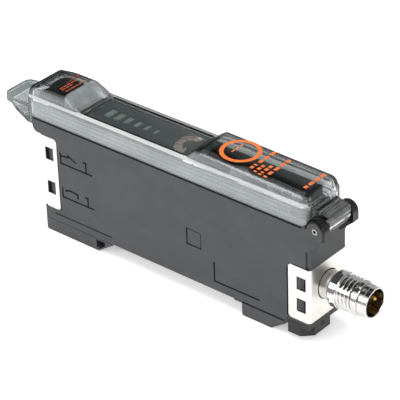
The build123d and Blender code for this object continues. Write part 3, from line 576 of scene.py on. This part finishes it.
def seam_lines():
    """painted shadow in the moulding's joints: under the cover's skirt, along both rail feet and round the
    end plates
    """
    # Each joint's points, its width and its depth
    skirt = (((-22.0, 24.9), (53.3, 24.9)), 0.4, 0.02)
    rear_foot = (((-17.2, 1.75), (-0.3, 1.75)), 0.3, 0.02)
    fibre_plate = (((-15.45, 3.2), (-15.45, 19.2)), 0.2, 0.015)
    connector_plate = (((49.68, 2.0), (49.68, 13.9)), 0.4, 0.015)
    plate_top = (((51.2, 15.15), (55.3, 15.15)), 0.3, 0.015)
    front_foot = (((37.4, 0.0), (48.6, 0.0)), 0.4, 0.015)
    square = (((22.1, 12.9), (22.1, 8.9), (26.1, 8.9), (26.1, 12.9), (22.1, 12.9)), 0.15, 0.015)
    joints = (skirt, rear_foot, fibre_plate, connector_plate, plate_top, front_foot, square)
    # Each plate's windows: the middle and the far edge along the case, and the heights
    windows = ((-17.9, -18.82, PORT_HEIGHTS), (53.3, 54.22, FRONT_WINDOW_HEIGHTS))
    mesh = bmesh.new()
    for side in (-1, 1):
        for points, width, depth in joints:
            add_lines(mesh, points, width, depth, side)
        # Painted shade in each window, for the dark gap behind the plate
        for middle, far_edge, heights in windows:
            for z in heights:
                add_bar(mesh, (0.5, 0.3, 3.15), at(far_edge, side * 5.95, z))
                add_bar(mesh, (2.35, 0.3, 0.28), at(middle, side * 5.95, z + 1.44))
    make_piece("painted_seam_shadows", mesh, "amplifier_body", dark_line, smooth=None)


def panel_bezel():
    """the black rim that the display panel sits in"""
    long_bar, short_bar, middle, z = (33.6, 0.4, 0.56), (0.4, 8.9, 0.56), 6.95, 28.68
    mesh = bmesh.new()
    for y in (-4.66, 4.66):
        add_bar(mesh, long_bar, at(middle, y, z), edge=0.06)
    for x in (-9.7, 23.6):
        add_bar(mesh, short_bar, at(x, 0, z), edge=0.06)
    make_piece("panel_bezel", mesh, "amplifier_body", black, smooth=None)


def dial_digits():
    """the numbers round the dial, read through the panel's window"""
    digits = bmesh.new()
    radius = 2.85
    for number in range(10):
        angle = radians(200 - 27 * number)
        data = text_mesh(str(number), 1.35, 0.008)
        place = at(DIAL_X + radius * cos(angle), radius * sin(angle), DIAL_TOP + 0.01)
        data.transform(Matrix.Translation(place) @ Matrix.Rotation(angle - pi / 2, 4, "Z"))
        digits.from_mesh(data)
        bpy.data.meshes.remove(data)
    ink = pad_ink("dark_red_pad_print_ink", "#8c2f2b", "#a33b36")
    make_piece("dial_digits", digits, "dial", ink, smooth=None)


# The clear cover
def ease(value):
    """0 below 0, 1 above 1 and a soft rise between"""
    value = min(max(value, 0.0), 1.0)
    return value * value * (3 - 2 * value)


def cover_crown(x):
    """height of the cover's middle line: rear dome, window, front dome, with their eased ramps"""
    rear = 32.2 + 0.8 * ease((x - COVER_ENDS[0]) / 6.5) - WINDOW_TOP
    front = 32.96 - FRONT_DOME_FALL * (x - 27) - WINDOW_TOP
    rear_ramp = ease((WINDOW_ENDS[0] - x) / 4.8)
    front_ramp = ease((x - WINDOW_ENDS[1]) / 4.4)
    return WINDOW_TOP + rear * rear_ramp + front * front_ramp


def end_radii(inset):
    """radius of the skin's rear and front ends"""
    return 1.5 - inset * 0.6, 2.2 - inset * 0.7


def arc(y, z, radius, angles):
    """points round (y, z) at angles in degrees from the y axis"""
    return [(y + radius * cos(radians(angle)), z + radius * sin(radians(angle))) for angle in angles]


def cover_section(x, inset):
    """half of the section at x of the skin at an inset, from its rim to its middle, as (y, z)"""
    drop = 0.0
    depths = (x - COVER_ENDS[0] - inset, COVER_ENDS[1] - inset - x)
    for depth, radius in zip(depths, end_radii(inset)):
        if depth < radius:
            drop = radius - sqrt(max(radius ** 2 - (radius - depth) ** 2, 0.0))
    wide = CASE_HALF_WIDTH - inset - drop
    shoulder = SHOULDER_TOP - inset
    top = cover_crown(x) - inset - drop
    if WINDOW_ENDS[0] < x < WINDOW_ENDS[1]:
        top += 0.2 * inset
    # The dome stands on a ledge that narrows as it rises, leans inwards and ends in a bend
    rise = top - shoulder
    foot = wide - 1.0 + 0.5 * ease(rise / 0.8)
    bend = max(0.04, min(1.7 - 0.7 * inset, 0.8 * rise))
    lean = 0.18 * max(rise - bend, 0.0)
    flat_end = foot - lean - bend
    rim = max(COVER_RIM, HINGE_Z + sqrt(max(HINGE_ROOM ** 2 - (HINGE_X - x) ** 2, 0.0)))
    points = [(wide, rim), (wide, SKIRT_TOP), (wide, shoulder - 1.0)]
    points += arc(wide - 0.45, shoulder - 0.55, 0.45, (0, 30, 60, 90))
    points += [(foot, shoulder), (foot - lean, top - bend)]
    points += arc(flat_end, top - bend, bend, (15, 30, 45, 60, 75, 90))
    return points + [(flat_end * 0.5, top), (0.0, top)]


def add_cover_skin(mesh, inset):
    """one skin of the cover, section after section, closer together where it turns, closed at both ends"""
    shares = (0, 0.03, 0.13, 0.29, 0.5, 0.74, 1)
    x0, x1 = COVER_ENDS[0] + inset, COVER_ENDS[1] - inset
    rear, front = end_radii(inset)
    places = [x0 + rear * share for share in shares] + [-21.8, -20.6, -19.4, -18.2, -16.5, -14.8, -13.6]
    places += [-12.7 + 0.4 * step for step in range(13)] + [-6, 0, 7, 14, 20]
    places += [WINDOW_ENDS[1] + 0.4 * step for step in range(12)] + [27, 30, 34, 38, 42, 46, 50, 51.8]
    places += [x1 - front * share for share in reversed(shares)]
    last = None
    for x in places:
        half = cover_section(x, inset)
        whole = half + [(-y, z) for y, z in reversed(half[:-1])]
        points = [mesh.verts.new(at(x, y, z)) for y, z in whole]
        edges = [mesh.edges.new(pair) for pair in zip(points, points[1:])]
        if last:
            bmesh.ops.bridge_loops(mesh, edges=last + edges)
        if x in (places[0], places[-1]):
            foot = mesh.edges.new((points[0], points[-1]))
            bmesh.ops.edgeloop_fill(mesh, edges=edges + [foot])
        last = edges


def kept_part(planes):
    """what planes leave of the cover's solid, its cuts closed: each is a point and the way to cut off"""
    mesh = bmesh.new()
    mesh.from_mesh(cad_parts["protective_cover"].data)
    bmesh.ops.remove_doubles(mesh, verts=mesh.verts, dist=1e-6)
    for place, way in planes:
        geom = mesh.verts[:] + mesh.edges[:] + mesh.faces[:]
        cut = bmesh.ops.bisect_plane(mesh, geom=geom, dist=1e-7, plane_co=place, plane_no=way,
                                     clear_outer=True)["geom_cut"]
        bmesh.ops.edgenet_fill(mesh, edges=[e for e in cut if isinstance(e, bmesh.types.BMEdge)])
    bmesh.ops.dissolve_limit(mesh, angle_limit=radians(1), verts=mesh.verts, edges=mesh.edges)
    return mesh


def clear_cover():
    """the clear cover: its soft-cornered shell, the lifting tab with the latch leg, and the hinge tongue"""
    shell = bmesh.new()
    add_cover_skin(shell, 0.0)
    add_cover_skin(shell, 1.0)
    bmesh.ops.bridge_loops(shell, edges=[e for e in shell.edges if e.is_boundary])
    pieces = [make_piece("cover_shell", shell, "cover", clear, smooth=38)]
    # The other parts are cut off just clear of the shell
    gap = 0.02
    parts = (("cover_tab", [(at(COVER_ENDS[0] - gap, 0, 0), (1, 0, 0))]),
             ("cover_latch_leg", [(at(0, 0, COVER_RIM - gap), (0, 0, 1)), (at(-20, 0, 0), (1, 0, 0))]),
             ("cover_hinge_tongue", [(at(COVER_ENDS[1] + gap, 0, 0), (-1, 0, 0))]))
    for name, planes in parts:
        piece = make_piece(name, kept_part(planes), "cover", clear, smooth=30)
        radius = piece.modifiers.new("edge_radius", "BEVEL")
        radius.width = 0.25 * MM
        radius.segments = 3
        radius.limit_method = "ANGLE"
        radius.angle_limit = radians(32)
        radius.harden_normals = True
        pieces.append(piece)
    ridges = bmesh.new()
    for x in (-22.6, -21.9, -21.2, -20.5, -17.4, -16.5):
        add_bar(ridges, (0.3, 7.4, 0.16), at(x, 0, cover_crown(x) + 0.03), edge=0.06)
    pieces.append(make_piece("cover_grip_ridges", ridges, "cover", clear, smooth=None))
    for piece in pieces:
        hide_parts("protective_cover")
    # Dark strips along the window's edges: painted shade for the dark edge seen through the cover there
    border = bmesh.new()
    for y in (-4.85, 4.85):
        add_bar(border, (28.6, 0.65, INK), at(6.7, y, WINDOW_TOP + INK / 2))
    make_piece("painted_window_edge_shade", border, "cover", dark_line, smooth=None)


def add_dashes(mesh, x, width, dashes, turn=None):
    """a row of printed dashes across the cover at x: each is where it starts across, and its length"""
    for y, length in dashes:
        add_bar(mesh, (width, length, INK), at(x, y + length / 2, cover_crown(x) + INK / 2), turn)


def front_dome_prints():
    """the front dome's print: a ring and rows of plain dashes"""
    slope = Matrix.Rotation(atan(FRONT_DOME_FALL), 4, "Y")
    mesh = bmesh.new()
    add_ring(mesh, 4.55, 3.6, INK, Matrix.Translation(at(32.7, 0, cover_crown(32.7))) @ slope)
    rows = ((31.4, 0.4, ((-1.4, 0.9), (-0.1, 1.2), (1.5, 0.9))),
            (38.6, 0.8, ((-4.0, 0.9), (-2.6, 0.5), (-1.2, 1.2), (0.6, 1.4), (2.6, 1.8))),
            (40.1, 0.8, ((-4.6, 0.5), (-3.5, 0.9), (-2.2, 0.8))),
            (41.5, 0.8, ((-4.9, 0.5), (-4.0, 0.5), (-2.9, 1.0), (-1.5, 0.9))),
            (43.0, 0.8, ((-5.0, 0.6), (-3.6, 1.3), (-1.6, 1.5), (0.5, 1.4), (2.4, 1.2))),
            (52.0, 0.8, ((-3.2, 1.0), (-1.6, 1.5), (0.4, 1.3), (2.2, 1.5))))
    for x, width, dashes in rows:
        add_dashes(mesh, x, width, dashes, slope)
    ink = pad_ink("orange_pad_print_ink", "#ea6f2c", "#f48540")
    make_piece("dome_print", mesh, "cover", ink, smooth=None)


def rear_dome_prints():
    """rows of plain dashes on the rear dome"""
    rows = ((-17.3, ((1.9, 0.9), (3.0, 0.8))),
            (-16.6, ((-0.6, 0.9), (0.5, 1.0), (1.7, 0.7), (2.7, 0.9))),
            (-15.9, ((-3.4, 0.9), (-2.2, 0.8), (-1.1, 1.0), (0.2, 0.8), (1.3, 0.9))),
            (-15.2, ((-3.5, 1.1), (-2.1, 0.9), (-0.9, 0.7))),
            (-14.1, ((-3.4, 0.8), (-2.4, 0.7), (-1.5, 1.1), (-0.2, 0.8), (0.8, 0.9), (1.9, 0.6), (2.7, 0.7))))
    mesh = bmesh.new()
    for x, dashes in rows:
        add_dashes(mesh, x, 0.34, dashes)
    ink = pad_ink("dark_orange_pad_print_ink", "#b4502c", "#c45d35")
    make_piece("rear_dome_print", mesh, "cover", ink, smooth=None)


def dial_lens():
    """the clear window set flush in the panel over the dial's ring, round 210 degrees"""
    start = radians(75)
    mesh = bmesh.new()
    section = ((1.78, 28.0), (3.72, 28.0), (3.72, 28.94), (1.78, 28.94))
    corners = [mesh.verts.new(at(DIAL_X + r * cos(start), r * sin(start), z)) for r, z in section]
    face = mesh.faces.new(corners)
    bmesh.ops.spin(mesh, geom=[face] + list(face.edges) + list(face.verts), cent=at(DIAL_X, 0, 0),
                   axis=(0, 0, 1), angle=radians(210), steps=60)
    make_piece("dial_window_lens", mesh, "amplifier_body", clear, smooth=30)


# The connector
def connector_shell_detail():
    """the turned M8 shell: neck, flare, threaded part, relief groove, collar and tip"""
    centre = at(CONNECTOR_X, 0, CONNECTOR_Z)
    mesh = bmesh.new()
    neck = [(0.02, 3.3), (1.0, 3.3), (1.05, 3.22), (1.15, 3.22), (1.2, 3.3), (1.9, 3.3)]
    flare = [(2.2, 3.45), (2.5, 3.9), (2.6, 3.95), (2.6, 3.42), (8.2, 3.42), (8.2, 3.55)]
    collar = [(8.7, 3.55), (8.7, 3.9), (8.8, 4.0), (9.8, 4.0), (9.9, 3.9), (9.9, 3.6)]
    tip = [(11.1, 3.6), (11.15, 3.5), (12.1, 3.5), (12.2, 3.42), (12.2, 3.2), (12.1, 3.1), (0.02, 3.1)]
    add_lathe(mesh, neck + flare + collar + tip, centre)
    shell = make_piece("turned_connector_shell", mesh, "amplifier_body", nickel, smooth=30)
    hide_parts("connector_shell")
    thread = bmesh.new()
    section = ((4.2, 3.38), (4.6, 3.97), (4.78, 3.97), (5.18, 3.38))
    turns, steps, pitch = 3.45, 64, 1.0
    bmesh.ops.spin(thread, geom=outline(thread, [centre + Vector((x * MM, 0, r * MM)) for x, r in section]),
                   cent=centre, axis=(1, 0, 0), dvec=(pitch * MM / steps, 0, 0), angle=tau * turns,
                   steps=int(steps * turns))
    bmesh.ops.holes_fill(thread, edges=[e for e in thread.edges if e.is_boundary], sides=4)
    ridge = make_piece("connector_thread_ridge", thread, "amplifier_body", nickel, smooth=30)
    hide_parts("connector_shell")


def connector_ring_detail():
    """the grip ring: flats round it, with square pockets for a key"""
    centre = at(CONNECTOR_X, 0, CONNECTOR_Z)
    mesh = bmesh.new()
    profile = ((2.62, 3.5), (2.62, 3.95), (2.8, 4.13), (4.5, 4.13), (4.68, 3.95), (4.68, 3.5))
    add_lathe(mesh, profile, centre, 24)
    flats = [f for f in mesh.faces
             if abs(f.normal.x) < 0.1 and (f.calc_center_median() - centre).yz.length > 4.0 * MM]
    flats.sort(key=lambda f: (f.calc_center_median() - centre).yz.angle_signed(Vector((0, 1))))
    pockets = flats[::3]
    bmesh.ops.inset_individual(mesh, faces=pockets, thickness=0.16 * MM, depth=0)
    pushed = bmesh.ops.extrude_discrete_faces(mesh, faces=pockets)["faces"]
    for face in pushed:
        inward = (centre - face.calc_center_median()) * Vector((0, 1, 1))
        bmesh.ops.translate(mesh, vec=inward.normalized() * 0.25 * MM, verts=face.verts)
    ring = make_piece("pocketed_grip_ring", mesh, "amplifier_body", nickel, smooth=12)
    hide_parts("connector_ring")


def contact_details():
    """four turned pins with domed tips"""
    profile = ((6.3, 0.0), (6.3, 0.5), (10.5, 0.5), (10.78, 0.42), (10.94, 0.26), (11.0, 0.0))
    circle = 2.0
    for number, degrees in enumerate((58, 122, 194, 346), 1):
        angle = radians(degrees)
        mesh = bmesh.new()
        add_lathe(mesh, profile, at(CONNECTOR_X, circle * cos(angle), CONNECTOR_Z + circle * sin(angle)), 32)
        pin = make_piece(f"domed_contact_pin_{number}", mesh, "amplifier_body", gold, smooth=40)
        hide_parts(f"contact_pin_{number}")


# Small detail
def lever_detail():
    """grip ridges, three dots and a soft skirt on the lever's cap, whose top rises by a sixth"""
    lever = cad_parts["lock_lever"].data.materials[0]
    ridges = bmesh.new()
    for x in (-20.6, -19.6, -18.6):
        add_bar(ridges, (0.35, 5.0, 0.24), at(x, 0, 30.63 + (x - LEVER_END) / 6), edge=0.08)
    make_piece("lever_grip_ridges", ridges, "lever", lever, smooth=None)
    skirt = bmesh.new()
    add_bar(skirt, (9.4, 8.4, 1.6), at(-16.9, 0, 29.8), edge=0.5, segments=3)
    make_piece("lever_cap_skirt", skirt, "lever", lever, smooth=30)
    dots = bmesh.new()
    for x in (-20.9, -19.7, -18.5):
        place = Matrix.Translation(at(x, -3.2, 29.96 + (x - LEVER_END) / 6))
        bmesh.ops.create_cone(dots, cap_ends=True, segments=16, radius1=0.26 * MM, radius2=0.26 * MM,
                              depth=0.05 * MM, matrix=place @ Matrix.Rotation(radians(45), 4, "X"))
    make_piece("lever_dots", dots, "lever", black, smooth=None)


def frame_ribs():
    """fine ribs along the pale frame, seen through the cover's skirt"""
    mesh = bmesh.new()
    for y in (-4.98, 4.98):
        for z, width in ((25.8, 0.2), (26.8, 0.14), (27.9, 0.2)):
            add_bar(mesh, (74.0, 0.24, width), at(15.6, y, z), edge=0.05)
    grey = moulded_pom("grey_frame_rib_moulding", "#6d7274", "#7c8183", 0.4)
    make_piece("frame_ribs", mesh, "amplifier_body", grey, smooth=None)


def deck_prints():
    """pale scale marks under the cover, round the adjuster and beside the switches, and two on the panel"""
    pale = pad_ink("pale_grey_pad_print_ink", "#b9bcbc", "#cfd2d2")
    mesh = bmesh.new()
    radius, z, height = 3.75, DECK_TOP + 0.01, 0.03
    for step in range(11):
        angle = radians(-60 + 30 * step)
        place = at(ADJUSTER_X + radius * cos(angle), radius * sin(angle), z)
        add_bar(mesh, (0.55, 0.16, height), place, Matrix.Rotation(angle, 4, "Z"))
    for x in (41.2, 47.6):
        for y in (-2.6, 2.6):
            add_bar(mesh, (1.5, 0.22, height), at(x, y, z))
        add_bar(mesh, (0.22, 2.4, height), at(x + 1.9, 0, z))
    make_piece("deck_scale_marks", mesh, "amplifier_body", pale, smooth=None)
    notes = bmesh.new()
    for x, y, length in ((-8.7, -2.4, 1.5), (-8.3, -2.2, 1.0)):
        add_bar(notes, (0.2, length, INK), at(x, y, PANEL_TOP + INK / 2))
    make_piece("panel_note_marks", notes, "amplifier_body", pale, smooth=None)


def ejector_marks():
    """the round witness marks that ejector pins leave"""
    # One mark low on the connector's end, three on the far side and two on the underside
    far_side = ((6.0, 20.5), (46.0, 20.5), (26.0, 3.6))
    spots = [(at(55.16, -1.25, -0.45), "Y", pi / 2, 0.42)]
    spots += [(at(x, CASE_HALF_WIDTH, z), "X", -pi / 2, 0.9) for x, z in far_side]
    spots += [(at(x, 0, -0.01), "X", pi, 0.8) for x in (10.0, 25.0)]
    mesh = bmesh.new()
    for place, axis, angle, radius in spots:
        turned = Matrix.Translation(place) @ Matrix.Rotation(angle, 4, axis)
        add_ring(mesh, radius, radius - 0.12, 0.02, turned, 32)
    make_piece("ejector_marks", mesh, "amplifier_body", dark_line, smooth=None)


# Light and floor
def towards(world, direction, start, end, low, high):
    """low where the view's cosine to a direction is under start and high where it is over end"""
    way = add(world, "ShaderNodeTexCoord").outputs["Generated"]
    cosine = add(world, "ShaderNodeVectorMath", {0: way, 1: Vector(direction).normalized()},
                 operation="DOT_PRODUCT").outputs["Value"]
    return add(world, "ShaderNodeMapRange", {"Value": cosine, "From Min": start, "From Max": end,
                                             "To Min": low, "To Max": high}, interpolation_type="SMOOTHSTEP")


def surround():
    """even light for dull surfaces; gloss and glass see a pale wall and ground, a window and a dim room"""
    world = bpy.data.worlds.new("surround")
    world.use_nodes = True
    world.node_tree.nodes.clear()
    wall = towards(world, (0.766, 0.643, 0), -0.06, 0.08, 0.05, 0.5)
    ceiling = towards(world, (0, 0, 1), 0.6, 0.75, 1.0, 0.3)
    room = add(world, "ShaderNodeMath", {0: wall, 1: ceiling}, operation="MULTIPLY")
    ground = towards(world, (0, 0, 1), 0.0, 0.1, 1.0, 0.0)
    window = towards(world, (-0.6, -0.66, 0.42), 0.9, 0.95, 0.0, 0.8)
    for other in (ground, window):
        room = add(world, "ShaderNodeMath", {0: room, 1: other}, operation="MAXIMUM")
    ray, sharp = ray_kinds(world)
    dull = add(world, "ShaderNodeMath", {0: sharp, 1: -0.5, 2: 0.5}, operation="MULTIPLY_ADD")
    level = add(world, "ShaderNodeMath", {0: room, 1: sharp, 2: dull}, operation="MULTIPLY_ADD")
    strength = add(world, "ShaderNodeMath", {0: level, 1: ray["Is Camera Ray"]}, operation="MAXIMUM")
    light = add(world, "ShaderNodeBackground", {"Color": colour("#ffffff"), "Strength": strength})
    add(world, "ShaderNodeOutputWorld", {"Surface": light})
    return world


def studio():
    """pale floor, soft lamps and an even white surround"""
    mesh = bmesh.new()
    bmesh.ops.create_grid(mesh, x_segments=1, y_segments=1, size=3)
    data = bpy.data.meshes.new("floor")
    mesh.to_mesh(data)
    mesh.free()
    floor = bpy.data.objects.new("floor", data)
    bpy.context.scene.collection.objects.link(floor)
    floor.data.materials.append(studio_floor())
    bpy.context.scene.world = surround()
    # Each lamp's place, its width, its power and whether gloss shows it
    lamps = (("overhead_softbox", (-0.2, 0.0, 0.6), 0.6, 2.4, False),
             ("front_softbox", (-0.25, -0.6, 0.35), 0.4, 1.5, True),
             ("connector_softbox", (0.6, -0.1, 0.25), 0.3, 0.7, True))
    aim = Vector((0, 0, 0.01))
    for name, place, width, power, in_gloss in lamps:
        data = bpy.data.lights.new(name, "AREA")
        data.shape = "RECTANGLE"
        data.size = width
        data.size_y = width * 0.7
        data.energy = power
        lamp = bpy.data.objects.new(name, data)
        lamp.visible_glossy = in_gloss
        look = (Vector(place) - aim).to_track_quat("Z", "Y")
        lamp.matrix_world = Matrix.Translation(place) @ look.to_matrix().to_4x4()
        bpy.context.scene.collection.objects.link(lamp)


dress_nodes()
case_marks()
seam_lines()
panel_bezel()
front_dome_prints()
rear_dome_prints()
dial_digits()
dial_lens()
clear_cover()
connector_shell_detail()
connector_ring_detail()
contact_details()
lever_detail()
frame_ribs()
deck_prints()
ejector_marks()
studio()
bpy.context.scene.view_settings.view_transform = "Standard"
